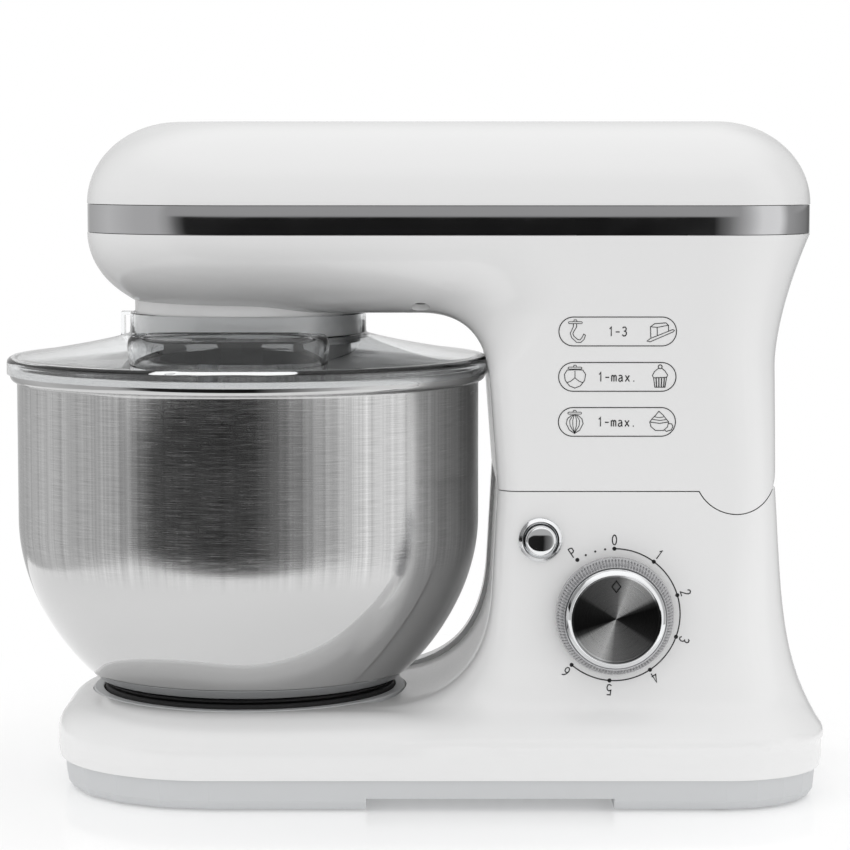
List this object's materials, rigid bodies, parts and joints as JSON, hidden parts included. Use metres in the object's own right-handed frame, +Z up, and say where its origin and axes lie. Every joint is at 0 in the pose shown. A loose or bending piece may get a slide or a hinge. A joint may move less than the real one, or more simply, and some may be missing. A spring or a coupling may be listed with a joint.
{
  "type": "stand mixer",
  "caption": "Tilt-head stand mixer with a steel bowl, clear splash lid, planetary flat beater, speed dial and head release button.",
  "frame": {"origin": "centre of the footprint box, on the table under the feet", "axes": "+Z up, +X from the bowl towards the hinge end, the dial and release button on the -Y side"},
  "size_m": [0.3924, 0.2344, 0.3194],
  "materials": {
    "white_plastic": "gloss white moulded plastic",
    "cover_plastic": "satin pale plastic",
    "chrome": "bright plated",
    "brushed_bowl": "brushed and polished stainless steel",
    "dark_metal": "radially brushed dark metal",
    "steel": "plain machined steel",
    "copper": "enamelled copper",
    "nylon": "natural nylon",
    "black_rubber": "matt black",
    "black_plastic": "matt black moulded plastic",
    "board": "green laminate",
    "alloy": "cast and polished aluminium",
    "clear_lid": "clear polycarbonate",
    "dial_grip": "smoky clear knurled plastic"
  },
  "bodies": {
    "base": {"base_housing": "white_plastic", "base_bottom_cover": "cover_plastic", "suction_foot_1": "black_rubber", "suction_foot_2": "black_rubber", "suction_foot_3": "black_rubber", "suction_foot_4": "black_rubber", "cover_screw_1": "steel", "cover_screw_2": "steel", "cover_screw_3": "steel", "cover_screw_4": "steel", "bowl_socket_ring": "cover_plastic", "button_bezel": "chrome", "speed_switch": "black_plastic", "control_board": "board", "hinge_bracket_left": "steel", "hinge_bracket_right": "steel", "hinge_pin": "steel", "latch_pin": "steel", "cord_gland": "black_rubber"},
    "dial": {"dial_grip": "dial_grip", "dial_rim": "chrome", "dial_face": "dark_metal", "dial_shaft": "steel"},
    "release_button": {"release_cap": "chrome"},
    "latch": {"latch_lever": "steel"},
    "head": {"head_top_cover": "white_plastic", "trim_band": "chrome", "head_housing": "white_plastic", "hub_housing": "white_plastic", "chassis_plate": "alloy", "ring_gear": "steel", "carrier_bearing": "steel", "idler_axle": "steel", "pulley_axle": "steel", "drive_belt": "black_rubber", "field_core": "steel", "field_coil_left": "copper", "field_coil_right": "copper", "motor_plate_lower": "alloy", "motor_plate_upper": "alloy", "brush_ring": "black_plastic", "hinge_lug_left": "alloy", "hinge_lug_right": "alloy", "latch_catch": "steel"},
    "motor_rotor": {"motor_shaft": "steel", "armature": "steel", "commutator": "copper", "fan_wheel": "black_plastic", "small_pulley": "alloy"},
    "belt_wheel": {"large_pulley": "nylon"},
    "idler": {"idler_gear": "nylon"},
    "planet": {"planet_carrier": "black_plastic", "main_gear": "nylon"},
    "tool": {"planet_pinion": "steel", "tool_shaft": "steel", "flat_beater": "alloy"},
    "bowl": {"mixing_bowl": "brushed_bowl", "bowl_foot": "black_rubber"},
    "lid": {"splash_lid": "clear_lid"}
  },
  "joints": [
    {"name": "head_tilt", "type": "hinge", "parent": "base", "child": "head", "pos_m": [0.1525, 0, 0.157], "axis": [0, 1, 0], "range_deg": [0, 35]},
    {"name": "speed_dial", "type": "hinge", "parent": "base", "child": "dial", "pos_m": [0.0954, -0.09, 0.0902], "axis": [0, 1, 0], "range_deg": [-35, 220]},
    {"name": "button_press", "type": "slide", "parent": "base", "child": "release_button", "axis": [0, 1, 0], "range_m": [0, 0.004], "stiffness_N_per_m": 400},
    {"name": "latch_turn", "type": "hinge", "parent": "base", "child": "latch", "pos_m": [0.076, 0, 0.112], "axis": [0, 1, 0], "range_deg": [0, 12]},
    {"name": "motor_spin", "type": "hinge", "parent": "head", "child": "motor_rotor", "pos_m": [0.108, 0, 0.22], "axis": [0, 0, 1], "continuous": true},
    {"name": "belt_wheel_spin", "type": "hinge", "parent": "head", "child": "belt_wheel", "pos_m": [0.0074, 0, 0.27], "axis": [0, 0, 1], "continuous": true},
    {"name": "idler_spin", "type": "hinge", "parent": "head", "child": "idler", "pos_m": [-0.031, 0, 0.26], "axis": [0, 0, 1], "continuous": true},
    {"name": "planet_spin", "type": "hinge", "parent": "head", "child": "planet", "pos_m": [-0.079, 0, 0.25], "axis": [0, 0, 1], "continuous": true},
    {"name": "tool_spin", "type": "hinge", "parent": "planet", "child": "tool", "pos_m": [-0.09895, 0, 0.2], "axis": [0, 0, 1], "continuous": true},
    {"name": "bowl_twist", "type": "hinge", "parent": "base", "child": "bowl", "pos_m": [-0.079, 0, 0.045], "axis": [0, 0, 1], "range_deg": [0, 20]},
    {"name": "lid_twist", "type": "hinge", "parent": "head", "child": "lid", "pos_m": [-0.079, 0, 0.222], "axis": [0, 0, 1], "range_deg": [0, 12]}
  ],
  "couplings": [
    {"joint": "latch_turn", "follows": "button_press", "rad_per_m": 52.36},
    {"joint": "belt_wheel_spin", "follows": "motor_spin", "ratio": 0.25},
    {"joint": "idler_spin", "follows": "motor_spin", "ratio": -0.11364},
    {"joint": "planet_spin", "follows": "motor_spin", "ratio": 0.037879},
    {"joint": "tool_spin", "follows": "motor_spin", "ratio": -0.11019}
  ]
}
